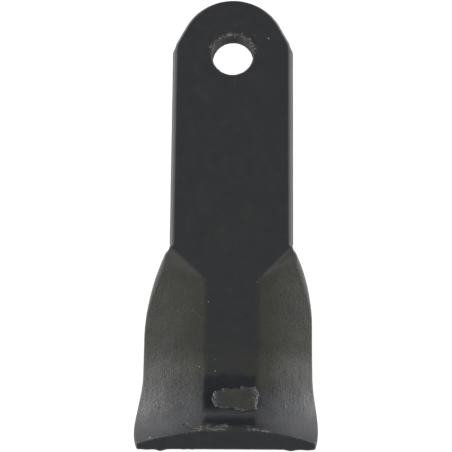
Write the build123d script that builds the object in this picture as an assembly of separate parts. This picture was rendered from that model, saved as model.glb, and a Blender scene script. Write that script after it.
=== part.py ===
"""Scoop-ended mulcher blade, forged from one length of flat spring-steel bar.

Millimetres. The blade lies on its flat back, so z = 0 is the back face and +Z points out of the
front face. The origin is on the bore axis at the back face. The eye end points to +Y and the
cutting end to -Y, where the forged wings are bent up into a scoop.
"""

import os
from math import cos, radians, sin

from build123d import *

# Rolled bar, with rounded edges that stand out past its flat faces
bar_width = 49.5
bar_thickness = 8.35
edge_bulge = 1.7

# Eye end: a crown arc, a straight sheared shoulder on each side, and the bore
bore_diameter = 16.5
head_height = 24.2
head_radius = 21.9
shoulder_angle = 28.0
shoulder_radius = 4.2

# Wings, hammered out thin to both sides of a rib that keeps the bar's thickness
wing_start = 76.0
left_flare_end = 118.0
right_flare_end = 111.7
left_reach = 34.4
right_reach = 32.3
left_tip_reach = 36.5
right_tip_reach = 34.2
left_rib = 9.2
right_rib = 10.2
left_edge_thickness = 2.2
right_edge_thickness = 2.6
left_crown = 0.55
right_crown = 0.75
rib_edge_radius = 14.6

# Steps, where the bar's front face drops to the wings along two slanted lines
step_start = 79.8
step_end = 94.5
left_step_slope = 24.0
right_step_slope = 34.0

# Scoop: the rib and both wings bent forward about one axis across the blade
bend_start = 120.1
bend_radius = 42.8
bend_angle = 56.8

# Tips: each side is drawn in over its last few millimetres and ends in a small rounding
tip_draw_length = 5.0
tip_draw_depth = 1.4
tip_corner_radius = 0.8

# Worked out from the sizes above
half_width = bar_width / 2
flat_half_width = half_width - edge_bulge
outer_bend_radius = bend_radius + bar_thickness
scoop_length = outer_bend_radius * sin(radians(bend_angle))
plan_end = bend_start + outer_bend_radius


def bar_section() -> Face:
    """Section across the bar, standing on its back face, with both edges bulged."""
    mid = bar_thickness / 2
    outline = Curve() + [
        Line((-flat_half_width, 0), (flat_half_width, 0)),
        ThreePointArc((flat_half_width, 0), (half_width, mid), (flat_half_width, bar_thickness)),
        Line((flat_half_width, bar_thickness), (-flat_half_width, bar_thickness)),
        ThreePointArc((-flat_half_width, bar_thickness), (-half_width, mid), (-flat_half_width, 0)),
    ]
    return make_face(outline)


def crowned_side(rib: Vector, edge: Vector, crown: float) -> Edge:
    """Front of one wing in section: an arc whose middle stands over the straight line."""
    return ThreePointArc(rib, (rib + edge) / 2 + Vector(0, crown), edge)


def wing_section() -> Face:
    """Section across rib and wings: a flat back and a crowned front that falls from the rib."""
    left_edge = Vector(-left_tip_reach, left_edge_thickness)
    right_edge = Vector(right_tip_reach, right_edge_thickness)
    left_top = Vector(-left_rib, bar_thickness)
    right_top = Vector(right_rib, bar_thickness)
    outline = Curve() + [
        Line((-left_tip_reach, 0), (right_tip_reach, 0)),
        Line((right_tip_reach, 0), right_edge),
        crowned_side(right_top, right_edge, right_crown),
        Line(right_top, left_top),
        crowned_side(left_top, left_edge, left_crown),
        Line(left_edge, (-left_tip_reach, 0)),
    ]
    face = make_face(outline)
    rib_edges = [v for v in face.vertices() if v.Y > (right_edge_thickness + bar_thickness) / 2]
    return fillet(rib_edges, rib_edge_radius)


def head_outline() -> Face:
    """Outline of the sheared eye end, seen from the front, and of the bar below it."""
    turn = radians(shoulder_angle)
    crown_y = head_height - head_radius
    touch_x = head_radius * cos(turn)
    touch_y = crown_y + head_radius * sin(turn)
    shoulder_y = touch_y - (half_width - touch_x) * cos(turn) / sin(turn)
    outline = Curve() + [
        ThreePointArc((touch_x, touch_y), (0, head_height), (-touch_x, touch_y)),
        Line((-touch_x, touch_y), (-half_width, shoulder_y)),
        Line((-half_width, shoulder_y), (-half_width, -plan_end)),
        Line((-half_width, -plan_end), (half_width, -plan_end)),
        Line((half_width, -plan_end), (half_width, shoulder_y)),
        Line((half_width, shoulder_y), (touch_x, touch_y)),
    ]
    face = make_face(outline)
    corners = [v for v in face.vertices() if abs(v.Y - shoulder_y) < 0.01]
    return fillet(corners, shoulder_radius)


def flare(side: int, flare_end: float, reach: float, tip_reach: float) -> list[Edge]:
    """One wing's outline: a flare out of the bar's edge, a long side, and the drawn-in tip."""
    root = Vector(side * flat_half_width, -wing_start)
    full = Vector(side * reach, -flare_end)
    tip = Vector(side * tip_reach, -bend_start - scoop_length)
    draw_start = tip - (tip - full).normalized() * tip_draw_length
    draw_end = tip - Vector(side * tip_draw_depth, 0)
    return [
        TangentArc(full, root, tangent=full - tip),
        Line(full, draw_start),
        TangentArc(draw_start, draw_end, tangent=tip - full),
        Line(draw_end, Vector(draw_end.X, -plan_end)),
    ]


def wing_outline() -> Face:
    """Outline of both wings, seen from the front."""
    left = flare(-1, left_flare_end, left_reach, left_tip_reach)
    right = flare(1, right_flare_end, right_reach, right_tip_reach)
    root_line = Line(left[0] @ 1, right[0] @ 1)
    end_line = Line(left[-1] @ 1, right[-1] @ 1)
    return make_face(Curve() + [*left, root_line, *right, end_line])


def step_plane(side: int, rib: float, step_slope: float) -> Plane:
    """Plane of one step, which slopes down and outward from its line on the front face."""
    inner = Vector(side * rib, -step_end, bar_thickness)
    outer = Vector(side * half_width, -step_start, bar_thickness)
    along = (outer - inner).normalized()
    outward = Vector(side * along.Y, -side * along.X, 0)
    slope = radians(step_slope)
    return Plane(inner, z_dir=outward * sin(slope) + Vector(0, 0, cos(slope)))


def make_shank() -> Part:
    """Bar with its sheared eye end, cut off at the two steps."""
    bar = extrude(Plane.XZ.offset(-head_height) * bar_section(), head_height + step_end)
    shank = bar & extrude(head_outline(), bar_thickness)
    shank = split(shank, bisect_by=step_plane(-1, left_rib, left_step_slope), keep=Keep.BOTTOM)
    return split(shank, bisect_by=step_plane(1, right_rib, right_step_slope), keep=Keep.BOTTOM)


def make_scoop() -> Part:
    """Rib and wings: a straight run, then the bend, trimmed to the wings' outline."""
    straight = extrude(Plane.XZ.offset(wing_start) * wing_section(), bend_start - wing_start)
    bend_axis = Axis((0, -bend_start, outer_bend_radius), (-1, 0, 0))
    bend = revolve(Plane.XZ.offset(bend_start) * wing_section(), bend_axis, bend_angle)
    blank = straight + bend
    return blank & extrude(wing_outline(), outer_bend_radius)


def make_blade() -> Part:
    """The whole blade, with its rounded tip corners and its bore."""
    blade = make_shank() + make_scoop()
    end_face = blade.faces().sort_by(Axis.Y)[0]
    end_edges = end_face.edges().sort_by(Axis.X)
    blade = fillet([end_edges[0], end_edges[-1]], tip_corner_radius)
    bore = Cylinder(bore_diameter / 2, bar_thickness, align=(Align.CENTER, Align.CENTER, Align.MIN))
    return blade - bore


def main() -> None:
    """Write the blade's solid."""
    os.makedirs("parts", exist_ok=True)
    blade = make_blade()
    export_step(blade, "parts/mulcher_blade.step")
    size = blade.bounding_box().size
    print(f"mulcher_blade {size.X:.1f} x {size.Y:.1f} x {size.Z:.1f} mm, {blade.volume / 1000:.2f} cm3")


main()
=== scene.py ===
"""Looks of a scoop-ended mulcher blade, forged from flat spring-steel bar and painted black.

The model is in metres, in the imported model's frame: the blade lies on its flat back, the bore's axis
is +Z through the origin, the eye end points to +Y and the scoop rises at the -Y end. Lengths are
written as they were read off the photograph, in a unit of which the bore spans 15.8.

The blade is first laid out flat, as the bar was before the last bend. A place on that flat blank
is given by x across it, s along it (the same as y up to the bend) and h, the height above its back.
"""

import logging
import math
from dataclasses import dataclass, field
from enum import Enum

import bmesh
import bpy
from mathutils import Matrix, Vector, noise

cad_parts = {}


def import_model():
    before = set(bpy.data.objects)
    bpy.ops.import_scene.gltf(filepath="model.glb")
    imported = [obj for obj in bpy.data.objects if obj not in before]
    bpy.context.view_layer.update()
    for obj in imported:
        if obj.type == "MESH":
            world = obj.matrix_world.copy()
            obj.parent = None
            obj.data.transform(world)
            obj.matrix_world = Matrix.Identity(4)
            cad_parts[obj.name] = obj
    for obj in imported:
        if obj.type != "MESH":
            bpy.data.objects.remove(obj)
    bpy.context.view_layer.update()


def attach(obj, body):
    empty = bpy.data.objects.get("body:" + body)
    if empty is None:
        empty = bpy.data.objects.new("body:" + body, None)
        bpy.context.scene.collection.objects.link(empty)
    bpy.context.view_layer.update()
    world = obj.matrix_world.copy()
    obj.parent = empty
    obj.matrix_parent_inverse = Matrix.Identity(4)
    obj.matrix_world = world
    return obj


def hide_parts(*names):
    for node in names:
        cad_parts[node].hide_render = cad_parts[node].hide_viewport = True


LOG = logging.getLogger("mulcher_blade")
BORE = 0.0165
BORE_READING = 15.8
UNIT = BORE / BORE_READING
NODE = "mulcher_blade"
BLANK_ATTRIBUTE = "blank"
WEAR_ATTRIBUTE = "wear"
CAST_ATTRIBUTE = "cast"


class Side(Enum):
    """The two sides of the blade, seen from the front with the eye end up."""

    LEFT = -1
    RIGHT = 1


def smooth_step(low: float, high: float, value: float) -> float:
    """Ease from 0 to 1 while a value passes from low to high.

    Args:
        low: where the result leaves 0.
        high: where the result reaches 1, above or below low.
        value: the value to judge.

    Returns:
        A share from 0 to 1.
    """
    share = min(1.0, max(0.0, (value - low) / (high - low)))
    return share * share * (3.0 - 2.0 * share)


def soft_max(first: float, second: float, blend: float) -> float:
    """Take the larger of two lengths, with the corner between them rounded.

    Args:
        first: one length.
        second: the other length.
        blend: the length over which the two are blended.

    Returns:
        The larger length, a little more where the two are close.
    """
    share = max(0.0, 1.0 - abs(first - second) / blend)
    return max(first, second) + share * share * blend / 4.0


def soft_min(first: float, second: float, blend: float) -> float:
    """Take the smaller of two lengths, with the corner between them rounded.

    Args:
        first: one length.
        second: the other length.
        blend: the length over which the two are blended.

    Returns:
        The smaller length, a little less where the two are close.
    """
    return -soft_max(-first, -second, blend)


def soft_depth(first: float, second: float) -> float:
    """Join two depths, each zero where its own slope hasn't begun, into the lesser one.

    Args:
        first: one depth, zero or more.
        second: the other depth, zero or more.

    Returns:
        Zero where either is zero, and otherwise a little under the lesser of the two.
    """
    if first <= 0.0 or second <= 0.0:
        return 0.0
    return (first**-4 + second**-4) ** -0.25


def mound(distance: float, radius: float) -> float:
    """Give a soft mound's height, 1 in its middle and near 0 from its radius on."""
    return math.exp(-2.0 * (distance / radius) ** 2)


def ripple(x: float, s: float, h: float, size: float, seed: float = 0.0) -> float:
    """Read a smooth noise that is fixed to the blank.

    Args:
        x: place across the blank.
        s: place along the blank.
        h: height above its back.
        size: the distance over which the noise changes.
        seed: a number that picks another stretch of the same noise.

    Returns:
        A value of about -1 to 1.
    """
    return noise.noise(Vector((x / size + seed, s / size - seed, h / size + 2.0 * seed)))


@dataclass(frozen=True)
class Wing:
    """One wing's outline and section on the flat blank."""

    side: Side
    rib: float
    reach: float
    tip_reach: float
    flare_end: float
    edge: float
    crown: float
    ramp: float
    ramp_round: float
    corner: float


@dataclass(frozen=True)
class BladeForm:
    """The forging's form: outline, thickness and bend, as functions of a place on the blank."""

    bar_width: float = 47.4 * UNIT
    thickness: float = 8.0 * UNIT
    edge_bulge: float = 1.95 * UNIT
    bore_radius: float = BORE / 2
    head_height: float = 23.2 * UNIT
    head_radius: float = 21.0 * UNIT
    shoulder_angle: float = math.radians(28.0)
    shoulder_blend: float = 0.3 * UNIT
    wing_start: float = 72.8 * UNIT
    flare_from: float = 77.0 * UNIT
    flare_to: float = 80.2 * UNIT
    step_start: float = 76.4 * UNIT
    step_end: float = 90.5 * UNIT
    bend_start: float = 115.0 * UNIT
    bend_radius: float = 41.0 * UNIT
    bend_angle: float = math.radians(56.8)
    corner_length: float = 10.5 * UNIT
    root_start: float = 76.3 * UNIT
    root_end: float = 106.0 * UNIT
    root_bulge: float = 2.5 * UNIT
    wing_bulge: float = 0.6 * UNIT
    left: Wing = Wing(
        side=Side.LEFT,
        rib=8.8 * UNIT,
        reach=32.95 * UNIT,
        tip_reach=35.0 * UNIT,
        flare_end=113.0 * UNIT,
        edge=2.1 * UNIT,
        crown=0.6,
        ramp=math.tan(math.radians(24.0)),
        ramp_round=0.5 * UNIT,
        corner=1.5 * UNIT,
    )
    right: Wing = Wing(
        side=Side.RIGHT,
        rib=9.8 * UNIT,
        reach=30.9 * UNIT,
        tip_reach=32.6 * UNIT,
        flare_end=107.0 * UNIT,
        edge=2.5 * UNIT,
        crown=1.1,
        ramp=math.tan(math.radians(34.0)),
        ramp_round=0.25 * UNIT,
        corner=1.0 * UNIT,
    )

    @property
    def half_width(self) -> float:
        """Half the bar's width, over its bulged edges."""
        return self.bar_width / 2

    @property
    def flat_half_width(self) -> float:
        """Half the width of the bar's flat faces."""
        return self.half_width - self.edge_bulge

    @property
    def outer_radius(self) -> float:
        """Radius of the back face in the bend."""
        return self.bend_radius + self.thickness

    @property
    def tip(self) -> float:
        """Place of the end face along the blank."""
        return -self.bend_start - (self.bend_radius + self.thickness / 2) * self.bend_angle

    def wing(self, x: float) -> Wing:
        """Pick the wing on the side of x."""
        return self.left if x < 0 else self.right

    def bent(self, x: float, s: float, h: float) -> Vector:
        """Carry a place on the flat blank to its place on the bent blade.

        Args:
            x: place across the blank.
            s: place along the blank.
            h: height above its back.

        Returns:
            The place in the model's frame.
        """
        past = -s - self.bend_start
        if past <= 0.0:
            return Vector((x, s, h))
        angle = past / (self.bend_radius + self.thickness / 2)
        radius = self.outer_radius - h
        y = -self.bend_start - radius * math.sin(angle)
        return Vector((x, y, self.outer_radius - radius * math.cos(angle)))

    def head_reach(self, y: float) -> float:
        """Half-width of the sheared eye end, shoulders included, at a height y beside the bore."""
        crown = self.head_height - self.head_radius
        touch_y = crown + self.head_radius * math.sin(self.shoulder_angle)
        if y >= touch_y:
            return math.sqrt(max(0.0, self.head_radius**2 - (y - crown) ** 2))
        touch_x = self.head_radius * math.cos(self.shoulder_angle)
        sheared = touch_x + (touch_y - y) * math.tan(self.shoulder_angle)
        return soft_min(sheared, self.half_width, self.shoulder_blend)

    def wing_reach(self, wing: Wing, s: float) -> float:
        """Half-width of one wing: a flare out of the bar's edge, then a side that widens to the tip.

        Args:
            wing: the wing.
            s: place along the blank.

        Returns:
            The distance from the middle line to the wing's outermost edge.
        """
        rise = wing.reach - self.flat_half_width
        run = wing.flare_end - self.wing_start
        radius = (rise * rise + run * run) / (2 * rise)
        left_of_end = max(0.0, wing.flare_end + s)
        flare = radius - math.sqrt(max(0.0, radius * radius - left_of_end * left_of_end))
        past = (-s - self.bend_start) / (-self.tip - self.bend_start)
        widening = (wing.tip_reach - wing.reach) * smooth_step(0.25, 0.75, past)
        return wing.reach - flare + widening

    def silhouette(self, wing: Wing, s: float) -> float:
        """Half-width of the blank at its widest height."""
        if s > -self.wing_start:
            return min(self.half_width, self.head_reach(s))
        flared = max(0.0, self.wing_reach(wing, s) - self.half_width)
        return self.half_width + flared * smooth_step(self.flare_from, self.flare_to, -s)

    def root(self, s: float) -> float:
        """Share from 0 to 1 of the hammer's rounding along the edge at a wing's root."""
        start = smooth_step(self.root_start, self.root_start + 7 * UNIT, -s)
        return start * smooth_step(self.root_end, self.root_end - 18 * UNIT, -s)

    def rolled(self, s: float) -> float:
        """Share from 1 on the bar's own rolled edge to 0 where a wing's hammered edge begins."""
        return smooth_step(self.root_start + 1.4 * UNIT, self.root_start - 0.6 * UNIT, -s)

    def wall_bulge(self, s: float) -> float:
        """How far the edge's wall stands out past the faces."""
        if s > -self.wing_start:
            return min(self.edge_bulge, self.head_reach(s) - self.flat_half_width)
        wing = self.wing_bulge + (self.root_bulge - self.wing_bulge) * self.root(s)
        return wing + (self.edge_bulge - wing) * self.rolled(s)

    def wall_corner(self, s: float) -> float:
        """Radius in height of the wall's rounding."""
        wing = 1.0 * UNIT + 1.8 * UNIT * self.root(s)
        return wing + (self.thickness / 2 - wing) * self.rolled(s)

    def face_reach(self, wing: Wing, s: float) -> float:
        """Half-width of the front and back faces, inside the rounded edges."""
        return self.silhouette(wing, s) - self.wall_bulge(s)

    def tip_corner(self, wing: Wing, s: float) -> float:
        """How far one wing's side is drawn in near its tip."""
        share = max(0.0, 1.0 - (s - self.tip) / self.corner_length)
        return wing.corner * share * share

    def relief(self, x: float, s: float) -> float:
        """How far the front face of the blank lies under the bar's front face.

        Args:
            x: place across the blank.
            s: place along the blank.

        Returns:
            The depth of the step and the wing's slope at that place.
        """
        wing = self.wing(x)
        across = abs(x)
        out = (across - wing.rib) / (wing.tip_reach - wing.rib)
        fall = self.thickness - wing.edge
        slope = fall * (out + wing.crown * out * abs(out)) / (1 + wing.crown)
        slope = soft_max(slope, 0.0, 0.12 * UNIT)
        line_run = self.half_width - wing.rib
        line_rise = self.step_end - self.step_start
        length = math.hypot(line_run, line_rise)
        past = ((-s - self.step_end) * line_run + (across - wing.rib) * line_rise) / length
        step = soft_max(past * wing.ramp, 0.0, wing.ramp_round)
        return soft_depth(slope, step)

    def front(self, x: float, s: float) -> float:
        """Height of the front face above the back."""
        return self.thickness - self.relief(x, s)


@dataclass(frozen=True)
class Pit:
    """A small round mark struck into the front face, or with a negative depth raised from it."""

    x: float
    s: float
    radius: float
    depth: float


@dataclass(frozen=True)
class ForgeMarks:
    """What the hammer, the press and use left on the surface, with the paint's painted reflection on the bend and
    painted shade on the lower rib.
    """

    form: BladeForm = field(default_factory=BladeForm)
    pad_x: float = 2.0 * UNIT
    pad_s: float = -139.7 * UNIT
    pad_half_width: float = 7.4 * UNIT
    pad_half_height: float = 5.0 * UNIT
    pad_taper: float = 0.25
    pad_corner: float = 2.2 * UNIT
    pad_rise: float = 0.05 * UNIT
    pad_lip: float = 0.045 * UNIT
    # Bounds of the rib's smoothed stretch that also carries painted shade.
    pressed_shade_left: float = -9.6 * UNIT
    pressed_shade_right: float = 9.6 * UNIT
    pressed_shade_top: float = -128.6 * UNIT
    pressed_shade_bottom: float = -155.6 * UNIT
    chip_depth: float = 0.3 * UNIT
    chip_from: float = -153.8 * UNIT
    rim_width: float = 2.1 * UNIT
    rim_depth: float = 0.3 * UNIT
    pits: tuple[Pit, ...] = (
        Pit(-15.8 * UNIT, -153.4 * UNIT, 0.6 * UNIT, 0.35 * UNIT),
        Pit(-14.4 * UNIT, -155.3 * UNIT, 0.5 * UNIT, 0.3 * UNIT),
        Pit(-12.6 * UNIT, -157.3 * UNIT, 0.6 * UNIT, 0.4 * UNIT),
        Pit(-17.6 * UNIT, -154.9 * UNIT, 0.5 * UNIT, 0.25 * UNIT),
        Pit(-9.1 * UNIT, -90.1 * UNIT, 0.6 * UNIT, -0.25 * UNIT),
        Pit(9.9 * UNIT, -91.0 * UNIT, 0.7 * UNIT, -0.3 * UNIT),
        Pit(-28.4 * UNIT, -158.2 * UNIT, 0.7 * UNIT, -0.35 * UNIT),
        Pit(14.1 * UNIT, 7.1 * UNIT, 0.6 * UNIT, -0.12 * UNIT),
    )

    def wingness(self, x: float, s: float) -> float:
        """Share from 0 on the bar's own faces to 1 on the hammered wings."""
        return smooth_step(0.03 * UNIT, 0.22 * UNIT, self.form.relief(x, s))

    def pad_distance(self, x: float, s: float) -> float:
        """Distance outside the ragged outline of the struck pad, negative inside it."""
        across = abs(x - self.pad_x) - self.pad_half_width + self.pad_corner
        half_height = self.pad_half_height * (1 + self.pad_taper * (x - self.pad_x) / self.pad_half_width)
        along = abs(s - self.pad_s) - half_height + self.pad_corner
        outside = math.hypot(max(across, 0.0), max(along, 0.0))
        ragged = 1.1 * UNIT * ripple(x, s, 0.0, 3.1 * UNIT, 3.0) + 0.6 * UNIT * ripple(x, s, 0.0, 1.1 * UNIT, 7.0)
        return outside + min(max(across, along), 0.0) - self.pad_corner + ragged

    def pad(self, x: float, s: float) -> float:
        """Height of the struck pad, with its pushed-up lip and its broken inside."""
        distance = self.pad_distance(x, s)
        if distance > 2.5 * UNIT:
            return 0.0
        inside = smooth_step(0.35 * UNIT, -0.35 * UNIT, distance)
        lip = mound(distance + 0.4 * UNIT, 0.8 * UNIT) * max(0.0, 0.35 + 1.3 * ripple(x, s, 0.0, 1.5 * UNIT, 11.0))
        broken = ripple(x, s, 0.0, 1.5 * UNIT, 5.0) + 0.7 * ripple(x, s, 0.0, 0.7 * UNIT, 6.0)
        broken *= 0.06 * UNIT * smooth_step(1.6 * UNIT, -0.5 * UNIT, distance)
        gutter = 0.03 * UNIT * mound(distance - 0.9 * UNIT, 1.0 * UNIT)
        return self.pad_rise * inside + self.pad_lip * lip + broken - gutter

    def chip_zone(self, x: float, s: float) -> float:
        """Share from 0 to 1 of the chipped stretch along the front of the end face."""
        across = smooth_step(-18 * UNIT, -10 * UNIT, x) * smooth_step(19 * UNIT, 12 * UNIT, x)
        gap = 1.0 - 0.8 * mound(x - 3.0 * UNIT, 3.4 * UNIT)
        start = self.chip_from - 2.0 * UNIT * smooth_step(-2 * UNIT, 6 * UNIT, x)
        ragged = 2.4 * UNIT * ripple(x, 0.0, s, 2.6 * UNIT, 13.0) + 1.2 * UNIT * ripple(x, s, 0.0, 1.1 * UNIT, 14.0)
        patchy = 0.75 + 0.5 * ripple(x, s, 0.0, 2.2 * UNIT, 15.0)
        return across * gap * patchy * smooth_step(start, start - 3.0 * UNIT, s + ragged)

    def chips(self, x: float, s: float) -> float:
        """Depth of the chips broken out along the end face's front edge."""
        zone = self.chip_zone(x, s)
        if zone <= 0.0:
            return 0.0
        rough = 0.25 + ripple(x, s, 0.0, 1.7 * UNIT, 17.0) + 0.5 * ripple(x, s, 0.0, 0.7 * UNIT, 19.0)
        return self.chip_depth * zone * max(0.0, rough)

    def rim(self, x: float, s: float) -> float:
        """Share from 0 to 1 of the ragged band over the bore's upper rim."""
        radius = math.hypot(x, s) - self.form.bore_radius
        if radius > 3 * self.rim_width:
            return 0.0
        ragged = 0.7 * UNIT * ripple(x, s, 0.0, 1.5 * UNIT, 23.0)
        upper = smooth_step(-2.5 * UNIT, 3.5 * UNIT, s)
        return upper * smooth_step(self.rim_width * 1.3, self.rim_width * 0.5, radius + ragged)

    def hammered(self, x: float, s: float) -> float:
        """Unevenness of the front face, coarser on the wings than on the bar."""
        wing = self.wingness(x, s)
        coarse = 0.10 * UNIT * ripple(x, s, 0.0, 11 * UNIT, 29.0) + 0.05 * UNIT * ripple(x, s, 0.0, 5 * UNIT, 31.0)
        fine = 0.012 * UNIT * ripple(x, s, 0.0, 1.8 * UNIT, 37.0)
        drawn = 0.02 * UNIT * ripple(x, s * 0.12, 0.0, 1.3 * UNIT, 41.0) * self.grain(x, s)
        bar = 0.03 * UNIT * ripple(x, s, 0.0, 13 * UNIT, 43.0)
        return wing * (coarse + fine + drawn) + (1 - wing) * bar

    def rise(self, x: float, s: float) -> float:
        """How far the marks lift the front face at one place.

        Args:
            x: place across the blank.
            s: place along the blank.

        Returns:
            The change of height, negative in pits and chips.
        """
        height = self.hammered(x, s) + self.pad(x, s) - self.chips(x, s)
        height -= self.rim_depth * self.rim(x, s) * (0.6 + 0.6 * ripple(x, s, 0.0, 1.0 * UNIT, 47.0))
        for pit in self.pits:
            distance = math.hypot(x - pit.x, s - pit.s)
            if distance < 2 * pit.radius:
                height -= pit.depth * mound(distance, pit.radius)
        return height

    def flash(self, x: float) -> float:
        """How far the forging flash hangs past the back edge of the end face."""
        left = 0.75 * mound(x + 24.7 * UNIT, 2.3 * UNIT) + 0.25 * mound(x + 29.5 * UNIT, 2.5 * UNIT)
        right = 0.55 * mound(x - 22.6 * UNIT, 2.4 * UNIT) + 0.2 * mound(x - 28.5 * UNIT, 2.0 * UNIT)
        beads = 0.16 * mound(x + 13.2 * UNIT, 0.8 * UNIT) + 0.14 * mound(x + 16.2 * UNIT, 0.7 * UNIT)
        return (left + right + beads + 0.05 * ripple(x, 0.0, 0.0, 1.6 * UNIT, 53.0)) * UNIT

    def grain(self, x: float, s: float) -> float:
        """Strength of the drawn-out grain that runs down the wings."""
        outer = smooth_step(14 * UNIT, 22 * UNIT, abs(x))
        return outer * smooth_step(-88 * UNIT, -98 * UNIT, s) * (1.0 if x > 0 else smooth_step(-100 * UNIT, -112 * UNIT, s))

    def olive(self, x: float, s: float) -> float:
        """Share of the paint's olive cast on the wings, the bend of the rib and the struck pad; on the lower wings and
        the rib's bend it is painted reflection, the lighter greenish tone the curved face reflects.
        """
        # Painted reflection: the curved lower wings and the rib's bend get the lighter olive tone of what they reflect.
        wing = self.wingness(x, s) * smooth_step(-146 * UNIT, -120 * UNIT, s)
        rib_reflection = 0.5 * mound(s + 122 * UNIT, 9 * UNIT)
        pad = smooth_step(0.3 * UNIT, -0.6 * UNIT, self.pad_distance(x, s))
        return max(wing, rib_reflection, 0.7 * pad)

    def texture(self, x: float, s: float) -> float:
        """Strength of the fine scale under the paint: faint on the bar and coarse on the wings."""
        pad = smooth_step(1.0 * UNIT, -0.5 * UNIT, self.pad_distance(x, s))
        return max(0.3 + 0.7 * self.wingness(x, s), pad)

    def pressed_and_shaded(self, x: float, s: float) -> float:
        """Share of the smooth stretch of the rib round the pad and down to the chips, darkened with painted shade where
        the curved face reflects dark.
        """
        crisp = 0.35 * UNIT
        ragged = 1.1 * UNIT * ripple(x, s, 0.0, 4.0 * UNIT, 73.0)
        left = smooth_step(self.pressed_shade_left - crisp, self.pressed_shade_left + crisp, x)
        right = smooth_step(self.pressed_shade_right + crisp, self.pressed_shade_right - crisp, x)
        top = smooth_step(self.pressed_shade_top + 1.6 * UNIT, self.pressed_shade_top - 1.0 * UNIT, s + ragged)
        bottom = smooth_step(self.pressed_shade_bottom - 1.0 * UNIT, self.pressed_shade_bottom + 0.6 * UNIT, s + 0.5 * ragged)
        return left * right * top * bottom * smooth_step(-0.4 * UNIT, 0.6 * UNIT, self.pad_distance(x, s))

    def struck(self, x: float, s: float) -> float:
        """Share of finely broken scale, inside the pad and stronger along its outline."""
        distance = self.pad_distance(x, s)
        if distance > 2.5 * UNIT:
            return 0.0
        inside = 0.45 * smooth_step(0.6 * UNIT, -0.4 * UNIT, distance)
        return max(inside, mound(distance, 0.9 * UNIT))

    def bare(self, x: float, s: float, h: float) -> float:
        """Share of the paint that is gone at one place, from 0 to 1.

        Args:
            x: place across the blank.
            s: place along the blank.
            h: height above its back.

        Returns:
            The share, which the finish breaks up further.
        """
        under = self.form.front(x, s) - h
        if under > 1.2 * UNIT:
            return 0.45 * smooth_step(9.0 * UNIT, 8.2 * UNIT, math.hypot(x, s))
        worn = max(self.chip_zone(x, s), 0.85 * self.rim(x, s))
        distance = self.pad_distance(x, s)
        worn = max(worn, 0.34 * mound(distance + 0.1 * UNIT, 0.7 * UNIT))
        near_tip = smooth_step(self.form.tip + 1.0 * UNIT, self.form.tip + 0.2 * UNIT, s)
        left_edge = smooth_step(-30 * UNIT, -26 * UNIT, x) * smooth_step(-8 * UNIT, -14 * UNIT, x)
        right_edge = smooth_step(5 * UNIT, 8 * UNIT, x) * smooth_step(20 * UNIT, 14 * UNIT, x)
        worn = max(worn, near_tip * (0.5 * left_edge + 0.8 * right_edge))
        crown = math.hypot(x, s - (self.form.head_height - self.form.head_radius))
        on_crown = smooth_step(self.form.head_radius - 0.8 * UNIT, self.form.head_radius - 0.3 * UNIT, crown)
        upper_right = mound(x - 14 * UNIT, 6 * UNIT) if s > 8 * UNIT and x > 0 else 0.12
        worn = max(worn, on_crown * upper_right * (1.0 if s > 8 * UNIT else 0.0))
        for pit in self.pits:
            if pit.depth < 0.0:
                worn = max(worn, mound(math.hypot(x - pit.x, s - pit.s), 0.8 * pit.radius))
        on_end = smooth_step(self.form.tip + 0.1 * UNIT, self.form.tip, s)
        return worn * (1.0 - on_end * smooth_step(0.1 * UNIT, 0.6 * UNIT, under))


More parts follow.
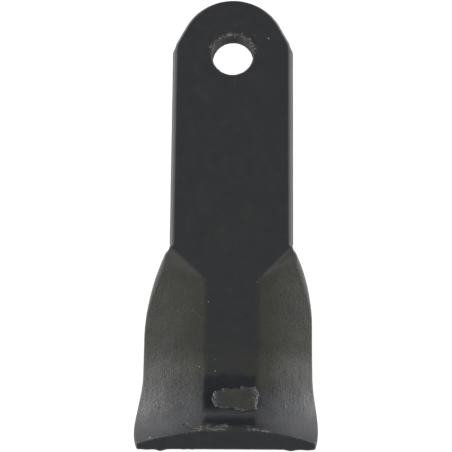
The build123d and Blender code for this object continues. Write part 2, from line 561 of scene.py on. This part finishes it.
@dataclass
class ForgedBlade:
    """The blade's mesh: a gridded flat blank, given its thickness, wear and bend."""

    form: BladeForm = field(default_factory=BladeForm)
    marks: ForgeMarks = field(default_factory=ForgeMarks)
    columns: int = 120
    row_runs: tuple[tuple[float, int], ...] = (
        (-70.0 * UNIT, 44),
        (-128.0 * UNIT, 94),
        (-151.0 * UNIT, 50),
    )
    tip_rows: int = 36
    rim_rings: int = 6
    rings: int = 17
    side_steps: int = 22
    shoulder_steps: int = 12
    crown_steps: int = 56
    wall_cuts: int = 9
    patch_bottom: float = -12.0 * UNIT
    rim_ring_radius: float = 11.0 * UNIT
    head_bulge: float = 0.9 * UNIT
    rim_round: float = 0.4 * UNIT
    tip_round: float = 0.35 * UNIT

    def build(self) -> bpy.types.Object:
        """Model the whole blade.

        Returns:
            The finished mesh object, at the origin.
        """
        mesh = bmesh.new()
        self.lay_shank_and_wings(mesh)
        self.lay_head(mesh)
        bmesh.ops.remove_doubles(mesh, verts=mesh.verts, dist=0.01 * UNIT)
        self.give_thickness(mesh)
        self.forge(mesh)
        bmesh.ops.recalc_face_normals(mesh, faces=mesh.faces)
        for face in mesh.faces:
            face.smooth = True
        data = bpy.data.meshes.new("forged_blade")
        mesh.to_mesh(data)
        mesh.free()
        blade = bpy.data.objects.new("forged_blade", data)
        bpy.context.scene.collection.objects.link(blade)
        return blade

    def row_places(self) -> list[float]:
        """List the grid rows' places along the blank, closer together towards the tip.

        Returns:
            One place for each row of points, from the head patch to the end face.
        """
        places = [self.patch_bottom]
        for end, rows in (*self.row_runs, (self.form.tip, self.tip_rows)):
            start = places[-1]
            places += [start + (end - start) * (row + 1) / rows for row in range(rows)]
        return places

    def lay_shank_and_wings(self, mesh: bmesh.types.BMesh) -> None:
        """Lay a grid over the blank from the head patch to the tip.

        Args:
            mesh: the mesh that receives the grid.
        """
        form = self.form
        places = self.row_places()
        rows = len(places) - 1
        grid = bmesh.ops.create_grid(mesh, x_segments=self.columns, y_segments=rows, size=0.5)
        for vert in grid["verts"]:
            s = places[round((0.5 - vert.co.y) * rows)]
            side = form.left if vert.co.x < 0 else form.right
            reach = form.face_reach(side, s) - form.tip_corner(side, s)
            vert.co = Vector((2 * vert.co.x * reach, s, 0.0))

    def head_outline(self) -> list[Vector]:
        """List the places round the head patch, from its lower left corner along the bottom.

        Returns:
            One place for each radial line of the patch.
        """
        form = self.form
        half = form.flat_half_width
        radius = form.head_radius - self.head_bulge
        crown = form.head_height - form.head_radius
        turn = form.shoulder_angle
        touch = Vector((radius * math.cos(turn), crown + radius * math.sin(turn), 0.0))
        shoulder = Vector((half, touch.y - (half - touch.x) / math.tan(turn), 0.0))
        low = Vector((half, self.patch_bottom, 0.0))
        places = []
        for step in range(self.columns):
            places.append(Vector((half * (2 * step / self.columns - 1), self.patch_bottom, 0.0)))
        places += [low.lerp(shoulder, step / self.side_steps) for step in range(self.side_steps)]
        places += [shoulder.lerp(touch, step / self.shoulder_steps) for step in range(self.shoulder_steps)]
        for step in range(self.crown_steps):
            angle = turn + (math.pi - 2 * turn) * step / self.crown_steps
            places.append(Vector((radius * math.cos(angle), crown + radius * math.sin(angle), 0.0)))
        flip = Vector((-1.0, 1.0, 1.0))
        steps = self.shoulder_steps
        places += [(touch * flip).lerp(shoulder * flip, step / steps) for step in range(steps)]
        steps = self.side_steps
        places += [(shoulder * flip).lerp(low * flip, step / steps) for step in range(steps)]
        return places

    def lay_head(self, mesh: bmesh.types.BMesh) -> None:
        """Lay rings between the bore's rim and the outline of the head patch.

        Args:
            mesh: the mesh that receives the rings.
        """
        outline = self.head_outline()
        ring = [place.normalized() * self.rim_ring_radius for place in outline]
        rim = [place.normalized() * (self.form.bore_radius + self.rim_round) for place in outline]
        self.lay_rings(mesh, outline, ring, self.rings)
        self.lay_rings(mesh, ring, rim, self.rim_rings)

    def lay_rings(self, mesh: bmesh.types.BMesh, outer: list[Vector], inner: list[Vector], rings: int) -> None:
        """Lay a band of rings between two closed lines.

        Args:
            mesh: the mesh that receives the band.
            outer: the outer line's places.
            inner: the inner line's places, one for each of the outer ones.
            rings: how many rings the band has.
        """
        edges = set()
        for size, places in ((1.0, outer), (0.5, inner)):
            circle = bmesh.ops.create_circle(mesh, segments=len(places), radius=size)["verts"]
            for vert, place in zip(circle, places):
                vert.co = place
                edges.update(vert.link_edges)
        spokes = bmesh.ops.bridge_loops(mesh, edges=list(edges))["edges"]
        bmesh.ops.subdivide_edges(mesh, edges=spokes, cuts=rings - 1, use_grid_fill=True)

    def give_thickness(self, mesh: bmesh.types.BMesh) -> None:
        """Turn the flat sheet into a closed slab one unit high, with cuts round its walls.

        Args:
            mesh: the flat sheet.
        """
        raised = bmesh.ops.extrude_face_region(mesh, geom=mesh.faces[:])["geom"]
        top = [item for item in raised if isinstance(item, bmesh.types.BMVert)]
        bmesh.ops.translate(mesh, verts=top, vec=(0.0, 0.0, 1.0))
        upright = [edge for edge in mesh.edges if abs(edge.verts[0].co.z - edge.verts[1].co.z) > 0.5]
        bmesh.ops.subdivide_edges(mesh, edges=upright, cuts=self.wall_cuts, use_grid_fill=True)

    def wall_direction(self, vert: bmesh.types.BMVert) -> Vector:
        """Find which way a wall faces at one of its points, seen from the front.

        Args:
            vert: a point of the slab.

        Returns:
            A level unit direction, or no direction for a point inside a face.
        """
        out = Vector((0.0, 0.0, 0.0))
        for face in vert.link_faces:
            if abs(face.normal.z) < 0.5:
                out += Vector((face.normal.x, face.normal.y, 0.0))
        return out.normalized() if out.length > 0.0 else out

    def forge(self, mesh: bmesh.types.BMesh) -> None:
        """Move every point of the slab to its place on the finished blade.

        Args:
            mesh: the closed slab.
        """
        bmesh.ops.recalc_face_normals(mesh, faces=mesh.faces)
        mesh.normal_update()
        blank = mesh.verts.layers.float_vector.new(BLANK_ATTRIBUTE)
        wear = mesh.verts.layers.float_vector.new(WEAR_ATTRIBUTE)
        cast = mesh.verts.layers.float_vector.new(CAST_ATTRIBUTE)
        walls = {vert: self.wall_direction(vert) for vert in mesh.verts if 0.01 < vert.co.z < 0.99}
        marks = self.marks
        for vert in mesh.verts:
            x, s, level = vert.co
            top = self.form.front(x, s) + (marks.rise(x, s) if level > 0.01 else 0.0)
            if vert in walls:
                out, h = self.wall_place(x, s, level, top)
                x += walls[vert].x * out
                s += walls[vert].y * out
            else:
                h = top * level
            vert[blank] = Vector((x, s, h))
            vert[wear] = Vector((marks.bare(x, s, h), marks.grain(x, s), marks.texture(x, s)))
            # The cast holds the olive share, partly painted reflection, the rib's painted shade with its smoothing, and
            # the struck pad's scale.
            vert[cast] = Vector((marks.olive(x, s), marks.pressed_and_shaded(x, s), marks.struck(x, s)))
            if s < self.form.tip + 2.5 * UNIT:
                near = smooth_step(self.form.tip + 2.5 * UNIT, self.form.tip + 0.3 * UNIT, s)
                h -= marks.flash(x) * near * smooth_step(0.55, 0.0, level)
            vert.co = self.form.bent(x, s, h)

    def wall_place(self, x: float, s: float, level: float, top: float) -> tuple[float, float]:
        """Shape the wall's profile at one level.

        Args:
            x: place across the blank.
            s: place along the blank.
            level: share of the wall's height, from 0 at the back.
            top: height of the front face there.

        Returns:
            How far the wall stands out there, and its height above the back.
        """
        form = self.form
        rough = 0.0
        if math.hypot(x, s) < form.bore_radius + 2 * self.rim_round:
            bulge, corner = self.rim_round, self.rim_round
            rough = 0.10 * UNIT * ripple(x, s, 2.0 * UNIT * level, 1.0 * UNIT, 59.0)
        elif s < form.tip + 0.01 * UNIT:
            bulge, corner = self.tip_round, self.tip_round
            rough = 0.05 * UNIT * ripple(x, 0.0, 8.0 * UNIT * level, 2.2 * UNIT, 61.0)
        elif abs(x) > form.flat_half_width - 0.01 * UNIT:
            bulge, corner = form.wall_bulge(s), form.wall_corner(s)
            rough = 0.04 * UNIT * ripple(x, s, 8.0 * UNIT * level, 4.0 * UNIT, 67.0)
        else:
            bulge, corner = self.head_bulge, self.head_bulge
            rough = 0.05 * UNIT * ripple(x, s, 8.0 * UNIT * level, 2.0 * UNIT, 71.0)
        corner = min(corner, top / 2)
        h = top * (1 - math.cos(math.pi * level)) / 2
        depth = max(0.0, corner - min(h, top - h)) / corner
        return bulge * math.sqrt(max(0.0, 1 - depth * depth)) + rough, h


class Chart:
    """A small writer of shader nodes for one material or world."""

    def __init__(self, tree: bpy.types.NodeTree) -> None:
        """Keep the tree that receives the nodes.

        Args:
            tree: the node tree.
        """
        self.tree = tree

    def feed(self, socket: bpy.types.NodeSocket, value: object) -> None:
        """Link a socket's value to an input, or set it where it is a constant.

        Args:
            socket: the input.
            value: another node's output, a number or a tuple.
        """
        if isinstance(value, bpy.types.NodeSocket):
            self.tree.links.new(value, socket)
        else:
            socket.default_value = value

    def math(self, operation: str, *values: object, clamp: bool = False) -> bpy.types.NodeSocket:
        """Add one sum.

        Args:
            operation: the sum's name.
            values: its inputs in order.
            clamp: whether the result is kept from 0 to 1.

        Returns:
            The result.
        """
        node = self.tree.nodes.new("ShaderNodeMath")
        node.operation = operation
        node.use_clamp = clamp
        for socket, value in zip(node.inputs, values):
            self.feed(socket, value)
        return node.outputs[0]

    def vector(self, operation: str, *values: object) -> bpy.types.NodeSocket:
        """Add one vector sum.

        Args:
            operation: the sum's name.
            values: its inputs in order.

        Returns:
            The result, a vector or a number as the sum gives.
        """
        node = self.tree.nodes.new("ShaderNodeVectorMath")
        node.operation = operation
        for socket, value in zip(node.inputs, values):
            self.feed(socket, value)
        if operation in ("DOT_PRODUCT", "DISTANCE", "LENGTH"):
            return node.outputs["Value"]
        return node.outputs["Vector"]

    def scaled(self, place: object, factor: object) -> bpy.types.NodeSocket:
        """Scale a vector by one number."""
        node = self.tree.nodes.new("ShaderNodeVectorMath")
        node.operation = "SCALE"
        self.feed(node.inputs[0], place)
        self.feed(node.inputs["Scale"], factor)
        return node.outputs["Vector"]

    def attribute(self, name: str) -> bpy.types.NodeSocket:
        """Read a vector kept on the mesh's points."""
        node = self.tree.nodes.new("ShaderNodeAttribute")
        node.attribute_name = name
        return node.outputs["Vector"]

    def part(self, vector: bpy.types.NodeSocket, index: int) -> bpy.types.NodeSocket:
        """Take one part of a vector, from 0 to 2."""
        node = self.tree.nodes.new("ShaderNodeSeparateXYZ")
        self.feed(node.inputs[0], vector)
        return node.outputs[index]

    def noise(self, place: bpy.types.NodeSocket, size: float, detail: float = 2.0, roughness: float = 0.5) -> bpy.types.NodeSocket:
        """Add a noise.

        Args:
            place: where it is read, in metres.
            size: the distance over which it changes.
            detail: how many finer layers it has.
            roughness: how strong those are.

        Returns:
            A number around one half.
        """
        node = self.tree.nodes.new("ShaderNodeTexNoise")
        self.feed(node.inputs["Vector"], place)
        node.inputs["Scale"].default_value = 1.0 / size
        node.inputs["Detail"].default_value = detail
        node.inputs["Roughness"].default_value = roughness
        return node.outputs[0]

    def cells(self, place: bpy.types.NodeSocket, size: float) -> tuple[bpy.types.NodeSocket, bpy.types.NodeSocket]:
        """Scatter points at random.

        Args:
            place: where it is read, in metres.
            size: the points' rough spacing.

        Returns:
            The distance to the nearest point, as a share of the spacing, and that point's own colour.
        """
        node = self.tree.nodes.new("ShaderNodeTexVoronoi")
        self.feed(node.inputs["Vector"], place)
        node.inputs["Scale"].default_value = 1.0 / size
        return node.outputs["Distance"], node.outputs["Color"]

    def ease(self, value: bpy.types.NodeSocket, low: float, high: float, start: float = 0.0, end: float = 1.0) -> bpy.types.NodeSocket:
        """Ease from one number to another while a value passes from low to high.

        Args:
            value: the value to judge.
            low: where the result leaves its start.
            high: where it reaches its end.
            start: the first number.
            end: the last number.

        Returns:
            The eased number.
        """
        node = self.tree.nodes.new("ShaderNodeMapRange")
        node.interpolation_type = "SMOOTHSTEP"
        self.feed(node.inputs["Value"], value)
        if low > high:
            low, high, start, end = high, low, end, start
        node.inputs["From Min"].default_value = low
        node.inputs["From Max"].default_value = high
        node.inputs["To Min"].default_value = start
        node.inputs["To Max"].default_value = end
        return node.outputs[0]

    def blend(self, share: object, first: object, second: object) -> bpy.types.NodeSocket:
        """Blend two colours.

        Args:
            share: the second colour's share.
            first: the first colour.
            second: the second colour.

        Returns:
            The blended colour.
        """
        node = self.tree.nodes.new("ShaderNodeMix")
        node.data_type = "RGBA"
        self.feed(node.inputs[0], share)
        self.feed(node.inputs[6], first)
        self.feed(node.inputs[7], second)
        return node.outputs[2]


@dataclass(frozen=True)
class Speck:
    """A small pale spot where the paint is knocked off."""

    x: float
    s: float
    radius: float
    strength: float


@dataclass(frozen=True)
class Scratch:
    """A fine line over the paint, along straight runs between places on the blank."""

    places: tuple[tuple[float, float], ...]
    width: float
    strength: float


@dataclass(frozen=True)
class BlackPaint:
    """Thin semi-gloss black paint over forged scale, with specks, scratches and worn places, an olive mottle that is
    also painted reflection on the bend, and painted shade on the lower rib.
    """

    name: str = "black_paint"
    blue_black: tuple[float, float, float, float] = (0.0125, 0.0132, 0.0165, 1.0)
    # Olive mottle of the paint, also painted reflection on the bend's wings and rib.
    olive_mottle_and_reflection: tuple[float, float, float, float] = (0.0175, 0.019, 0.0125, 1.0)
    bare_steel: tuple[float, float, float, float] = (0.13, 0.125, 0.095, 1.0)
    dull_steel: tuple[float, float, float, float] = (0.034, 0.032, 0.02, 1.0)
    # Painted shade: the dark reflection along the lower rib, painted into the colour.
    painted_shade_black: tuple[float, float, float, float] = (0.006, 0.0065, 0.009, 1.0)
    pale_mark: tuple[float, float, float, float] = (0.3, 0.3, 0.29, 1.0)
    roughness: float = 0.30
    scale_height: float = 0.10
    struck_height: float = 0.45
    specks: tuple[Speck, ...] = (
        Speck(14.1 * UNIT, 7.1 * UNIT, 0.42 * UNIT, 0.9),
        Speck(8.6 * UNIT, 8.5 * UNIT, 0.3 * UNIT, 0.35),
        Speck(-8.4 * UNIT, -98.6 * UNIT, 0.34 * UNIT, 0.55),
        Speck(-11.5 * UNIT, -124.3 * UNIT, 0.36 * UNIT, 0.6),
        Speck(-5.5 * UNIT, -126.4 * UNIT, 0.36 * UNIT, 0.7),
        Speck(-5.5 * UNIT, -121.3 * UNIT, 0.3 * UNIT, 0.35),
        Speck(-19.9 * UNIT, -101.9 * UNIT, 0.25 * UNIT, 0.25),
        Speck(0.9 * UNIT, 12.6 * UNIT, 0.3 * UNIT, 0.2),
        Speck(-28.4 * UNIT, -158.4 * UNIT, 0.5 * UNIT, 0.7),
    )
    scratches: tuple[Scratch, ...] = (
        Scratch(((-17.4, -102.1), (-16.2, -101.7), (-14.7, -101.8), (-13.6, -102.2)), 0.2 * UNIT, 0.07),
        Scratch(((-14.7, -101.8), (-13.6, -102.2), (-12.6, -103.3), (-11.4, -104.4), (-9.9, -105.0)), 0.22 * UNIT, 0.12),
        Scratch(((-13.6, -115.6), (-9.8, -115.9)), 0.14 * UNIT, 0.10),
        Scratch(((0.6, -10.2), (1.1, -12.0), (0.7, -14.0)), 0.15 * UNIT, 0.08),
        Scratch(((6.0, -24.0), (9.0, -28.5)), 0.12 * UNIT, 0.05),
        Scratch(((-4.0, -41.5), (3.5, -42.6)), 0.12 * UNIT, 0.06),
        Scratch(((-2.5, -49.0), (0.5, -51.5), (5.0, -51.8)), 0.12 * UNIT, 0.05),
    )

    def material(self) -> bpy.types.Material:
        """Build the finish.

        Returns:
            The node material.
        """
        material = bpy.data.materials.new(self.name)
        material.use_nodes = True
        chart = Chart(material.node_tree)
        shader = material.node_tree.nodes["Principled BSDF"]
        place = chart.attribute(BLANK_ATTRIBUTE)
        wear = chart.attribute(WEAR_ATTRIBUTE)
        cast = chart.attribute(CAST_ATTRIBUTE)
        bare = self.bare_share(chart, place, wear)
        marks = self.pale_marks(chart, place)
        chart.feed(shader.inputs["Base Color"], self.colour(chart, place, cast, bare, marks))
        chart.feed(shader.inputs["Roughness"], self.gloss(chart, place, cast, bare))
        chart.feed(shader.inputs["Normal"], self.bump(chart, place, wear, cast, bare))
        return material

    def bare_share(self, chart: Chart, place: bpy.types.NodeSocket, wear: bpy.types.NodeSocket) -> bpy.types.NodeSocket:
        """Break the worn places up into flakes.

        Args:
            chart: the material's writer.
            place: the place on the blank.
            wear: the mesh's wear values.

        Returns:
            The share of bare steel, from 0 to 1.
        """
        flakes = chart.math("MULTIPLY_ADD", chart.noise(place, 0.8 * UNIT, 4.0, 0.7), 2.4, -1.75)
        amount = chart.math("MULTIPLY_ADD", chart.part(wear, 0), 0.85, flakes)
        return chart.ease(amount, -0.05, 0.4)

    def pale_marks(self, chart: Chart, place: bpy.types.NodeSocket) -> bpy.types.NodeSocket:
        """Draw the specks and scratches of the front face.

        Args:
            chart: the material's writer.
            place: the place on the blank.

        Returns:
            Their strength, from 0 to 1.
        """
        across = chart.vector("MULTIPLY", place, (1.0, 1.0, 0.0))
        total = None
        for speck in self.specks:
            distance = chart.vector("DISTANCE", across, (speck.x, speck.s, 0.0))
            mark = chart.ease(distance, speck.radius, 0.25 * speck.radius, 0.0, speck.strength)
            total = mark if total is None else chart.math("MAXIMUM", total, mark)
        wobble = chart.math("MULTIPLY_ADD", chart.noise(place, 0.5 * UNIT, 2.0), 1.6, -0.1)
        for scratch in self.scratches:
            for start, end in zip(scratch.places, scratch.places[1:]):
                distance = self.run_distance(chart, across, start, end)
                mark = chart.ease(distance, scratch.width, 0.2 * scratch.width, 0.0, scratch.strength)
                total = chart.math("MAXIMUM", total, chart.math("MULTIPLY", mark, wobble))
        distance, colour = chart.cells(across, 3.1 * UNIT)
        chosen = chart.ease(chart.part(colour, 0), 0.72, 0.8)
        dust = chart.math("MULTIPLY", chart.ease(distance, 0.085, 0.02), chosen)
        dust = chart.math("MULTIPLY", dust, chart.math("MULTIPLY", chart.part(colour, 1), 0.16))
        return chart.math("MULTIPLY", chart.math("MAXIMUM", total, dust), self.on_front(chart, place))

    def run_distance(self, chart: Chart, place: bpy.types.NodeSocket, start: tuple[float, float], end: tuple[float, float]) -> bpy.types.NodeSocket:
        """Measure how far a place is from one straight run of a scratch.

        Args:
            chart: the material's writer.
            place: the place on the blank.
            start: the run's first end, in millimetres.
            end: the run's last end, in millimetres.

        Returns:
            The distance in metres.
        """
        first = Vector((start[0], start[1], 0.0)) * UNIT
        run = Vector((end[0], end[1], 0.0)) * UNIT - first
        away = chart.vector("SUBTRACT", place, tuple(first))
        along = chart.vector("DOT_PRODUCT", away, tuple(run / run.length_squared))
        along = chart.math("ADD", along, 0.0, clamp=True)
        return chart.vector("DISTANCE", away, chart.scaled(tuple(run), along))

    def on_front(self, chart: Chart, place: bpy.types.NodeSocket) -> bpy.types.NodeSocket:
        """Give 1 on the front face and the walls' upper halves, and 0 on the back."""
        return chart.ease(chart.part(place, 2), 1.0 * UNIT, 1.8 * UNIT)

    def colour(self, chart: Chart, place: bpy.types.NodeSocket, cast: bpy.types.NodeSocket, bare: bpy.types.NodeSocket, marks: bpy.types.NodeSocket) -> bpy.types.NodeSocket:
        """Mix the paint's two casts with bare steel and pale marks; the olive is partly painted reflection and the
        darkened lower rib is painted shade.

        Args:
            chart: the material's writer.
            place: the place on the blank.
            cast: the mesh's cast values.
            bare: the share of bare steel.
            marks: the strength of the pale marks.

        Returns:
            The base colour.
        """
        patches = chart.noise(place, 3.2 * UNIT, 3.0, 0.65)
        # Olive: random mottle plus the painted reflection share from the mesh.
        olive = chart.math("ADD", chart.part(cast, 0), chart.math("MULTIPLY_ADD", patches, 3.4, -1.65), clamp=True)
        paint = chart.blend(olive, self.blue_black, self.olive_mottle_and_reflection)
        # Painted shade darkens the lower rib.
        paint = chart.blend(chart.math("MULTIPLY", chart.part(cast, 1), 0.5), paint, self.painted_shade_black)
        dull = chart.ease(chart.noise(place, 1.1 * UNIT, 3.0, 0.6), 0.56, 0.44)
        steel = chart.blend(dull, self.bare_steel, self.dull_steel)
        worn = chart.blend(bare, paint, steel)
        return chart.blend(marks, worn, self.pale_mark)

    def gloss(self, chart: Chart, place: bpy.types.NodeSocket, cast: bpy.types.NodeSocket, bare: bpy.types.NodeSocket) -> bpy.types.NodeSocket:
        """Vary the roughness over the paint, smooth the stretch of the rib that carries painted shade and dull the bare
        steel.

        Args:
            chart: the material's writer.
            place: the place on the blank.
            cast: the mesh's cast values.
            bare: the share of bare steel.

        Returns:
            The roughness.
        """
        cloudy = chart.noise(place, 7.0 * UNIT, 3.0, 0.6)
        fine = chart.noise(place, 0.6 * UNIT, 2.0, 0.5)
        rough = chart.math("MULTIPLY_ADD", cloudy, 0.10, self.roughness - 0.07)
        rough = chart.math("MULTIPLY_ADD", fine, 0.05, rough)
        rough = chart.math("MULTIPLY_ADD", chart.part(cast, 1), -0.12, rough)
        return chart.math("MULTIPLY_ADD", bare, 0.22, rough)

    def bump(
        self,
        chart: Chart,
        place: bpy.types.NodeSocket,
        wear: bpy.types.NodeSocket,
        cast: bpy.types.NodeSocket,
        bare: bpy.types.NodeSocket,
    ) -> bpy.types.NodeSocket:
        """Raise the scale under the paint, the drawn grain, the struck pad and the flakes' edges.

        Args:
            chart: the material's writer.
            place: the place on the blank.
            wear: the mesh's wear values.
            cast: the mesh's cast values.
            bare: the share of bare steel.

        Returns:
            The shader's normal.
        """
        scale = chart.math("MULTIPLY", chart.noise(place, 1.0 * UNIT, 4.0, 0.7), self.scale_height)
        scale = chart.math("MULTIPLY", scale, chart.part(wear, 2))
        struck = chart.math("MULTIPLY", chart.noise(place, 0.9 * UNIT, 3.0, 0.6), self.struck_height)
        scale = chart.math("MULTIPLY_ADD", struck, chart.part(cast, 2), scale)
        stretched = chart.vector("MULTIPLY", place, (1.0, 0.07, 1.0))
        drawn = chart.math("MULTIPLY", chart.noise(stretched, 0.55 * UNIT, 2.0, 0.5), 0.035)
        drawn = chart.math("MULTIPLY", drawn, chart.part(wear, 1))
        flaked = chart.math("MULTIPLY", bare, -0.05)
        height = chart.math("ADD", chart.math("ADD", scale, drawn), flaked)
        node = chart.tree.nodes.new("ShaderNodeBump")
        node.inputs["Strength"].default_value = 1.0
        node.inputs["Distance"].default_value = UNIT
        chart.feed(node.inputs["Height"], height)
        return node.outputs[0]


@dataclass(frozen=True)
class Lobe:
    """One soft patch of light in the room, given by where it hangs.

    The turn is measured from the eye end's direction towards the right, and the sharpness says
    how fast the patch fades away from its middle.
    """

    turn: float
    height: float
    sharpness: float
    power: float


@dataclass(frozen=True)
class Studio:
    """Pale floor lit from within, soft lights and the camera.

    The floor only shows in the picture. What the blade itself sees below the horizon is the
    room's lower half, so that the floor can be plain white without washing over the outline.
    """

    floor_size: float = 3.0
    floor_colour: tuple[float, float, float, float] = (0.15, 0.15, 0.15, 1.0)
    floor_glow: float = 0.97
    backdrop: float = 0.85
    table: float = 2.6
    table_under: float = 0.1
    table_fade: float = 0.97
    table_sides: Lobe = Lobe(90.0, -12.0, 5.0, 1.5)
    table_dark: Lobe = Lobe(0.0, -5.0, 3.0, 1.0)
    room: float = 0.40
    side_lobes: tuple[Lobe, ...] = (
        Lobe(41.5, 6.7, 30.0, 9.4),
        Lobe(51.5, 39.5, 50.0, 4.6),
        Lobe(120.7, 52.0, 23.0, 1.56),
        Lobe(76.0, 28.0, 30.0, 2.2),
    )
    front_lobe: Lobe = Lobe(180.0, 56.4, 44.0, 0.43)
    dark_patch: Lobe = Lobe(0.0, 11.6, 5.8, 1.0)
    camera_target: Vector = field(default_factory=lambda: Vector((-2.0, -69.0, 8.0)) * UNIT)
    camera_distance: float = 647.0 * UNIT
    camera_tilt: float = math.radians(14.2)
    camera_turn: float = math.radians(6.59)
    camera_roll: float = math.radians(-0.52)
    lens_over_width: float = 1691.0 / 452.0

    def build(self) -> None:
        """Lay the floor, light the room and place the camera."""
        self.lay_floor()
        self.light()
        self.place_camera()

    def lay_floor(self) -> None:
        """Lay the pale floor that the blade lies on."""
        mesh = bmesh.new()
        bmesh.ops.create_grid(mesh, x_segments=1, y_segments=1, size=self.floor_size / 2)
        data = bpy.data.meshes.new("floor")
        mesh.to_mesh(data)
        mesh.free()
        floor = bpy.data.objects.new("floor", data)
        bpy.context.scene.collection.objects.link(floor)
        material = bpy.data.materials.new("pale_floor")
        material.use_nodes = True
        shader = material.node_tree.nodes["Principled BSDF"]
        shader.inputs["Base Color"].default_value = self.floor_colour
        shader.inputs["Roughness"].default_value = 0.9
        shader.inputs["Emission Color"].default_value = (1.0, 1.0, 1.0, 1.0)
        shader.inputs["Emission Strength"].default_value = self.floor_glow
        data.materials.append(material)
        floor.visible_diffuse = False
        floor.visible_glossy = False
        floor.visible_shadow = False

    def lobe_glow(self, chart: Chart, way: bpy.types.NodeSocket, lobe: Lobe, mirrored: bool = False) -> bpy.types.NodeSocket:
        """Give one lobe's light in the direction that is looked at.

        Args:
            chart: the room's writer.
            way: the direction.
            lobe: the lobe.
            mirrored: whether it hangs on the other side.

        Returns:
            The light's strength.
        """
        turn = math.radians(-lobe.turn if mirrored else lobe.turn)
        height = math.radians(lobe.height)
        level = math.cos(height)
        middle = (math.sin(turn) * level, math.cos(turn) * level, math.sin(height))
        near = chart.vector("DOT_PRODUCT", way, middle)
        near = chart.math("MULTIPLY_ADD", near, lobe.sharpness, -lobe.sharpness)
        return chart.math("MULTIPLY", chart.math("EXPONENT", near), lobe.power)

    def table_glow(self, chart: Chart, way: bpy.types.NodeSocket) -> bpy.types.NodeSocket:
        """Give the light from below the horizon, bright far off and dark straight under the blade.

        Args:
            chart: the room's writer.
            way: the direction.

        Returns:
            The light's strength.
        """
        glow = chart.ease(chart.part(way, 2), 0.0, -self.table_fade, self.table, self.table_under)
        glow = chart.math("SUBTRACT", glow, self.lobe_glow(chart, way, self.table_dark))
        for mirrored in (False, True):
            glow = chart.math("ADD", glow, self.lobe_glow(chart, way, self.table_sides, mirrored))
        return chart.math("MAXIMUM", glow, 0.0)

    def light(self) -> None:
        """Light the room: dim overhead, soft patches to both sides and dark beyond the eye end."""
        world = bpy.data.worlds.new("studio")
        world.use_nodes = True
        chart = Chart(world.node_tree)
        way = world.node_tree.nodes.new("ShaderNodeTexCoord").outputs["Generated"]
        dark = self.lobe_glow(chart, way, self.dark_patch)
        glow = chart.math("MULTIPLY_ADD", dark, -self.room, self.room)
        glow = chart.math("ADD", glow, self.lobe_glow(chart, way, self.front_lobe))
        for lobe in self.side_lobes:
            for mirrored in (False, True):
                glow = chart.math("ADD", glow, self.lobe_glow(chart, way, lobe, mirrored))
        below = chart.ease(chart.part(way, 2), 0.01, -0.01)
        table = self.table_glow(chart, way)
        glow = chart.math("MULTIPLY_ADD", chart.math("SUBTRACT", table, glow), below, glow)
        seen = world.node_tree.nodes.new("ShaderNodeLightPath").outputs["Is Camera Ray"]
        glow = chart.math("MULTIPLY_ADD", chart.math("SUBTRACT", self.backdrop, glow), seen, glow)
        background = world.node_tree.nodes["Background"]
        background.inputs["Color"].default_value = (1.0, 1.0, 1.0, 1.0)
        chart.feed(background.inputs["Strength"], glow)
        bpy.context.scene.world = world
        bpy.context.scene.view_settings.view_transform = "Standard"

    def place_camera(self) -> None:
        """Set the camera where the photograph was taken from."""
        tilt, turn = self.camera_tilt, self.camera_turn
        back = Vector((math.sin(turn) * math.sin(tilt), -math.cos(turn) * math.sin(tilt), math.cos(tilt)))
        up = Vector((0.0, 1.0, 0.0))
        up = (up - up.dot(back) * back).normalized()
        right = up.cross(back)
        roll = self.camera_roll
        top = up * math.cos(roll) + right * math.sin(roll)
        across = right * math.cos(roll) - up * math.sin(roll)
        turned = Matrix((across, top, back)).transposed().to_4x4()
        data = bpy.data.cameras.new("camera")
        data.lens = data.sensor_width * self.lens_over_width
        data.clip_start = 0.01
        camera = bpy.data.objects.new("camera", data)
        camera.matrix_world = Matrix.Translation(self.camera_target + back * self.camera_distance) @ turned
        bpy.context.scene.collection.objects.link(camera)
        bpy.context.scene.camera = camera


def main() -> None:
    """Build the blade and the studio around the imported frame."""
    logging.basicConfig(level=logging.INFO, format="%(message)s")
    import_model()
    blade = ForgedBlade().build()
    blade.data.materials.append(BlackPaint().material())
    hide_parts(NODE)
    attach(blade, "root")
    LOG.info("%s: %d faces", blade.name, len(blade.data.polygons))
    Studio().build()


if __name__ == "__main__":
    main()
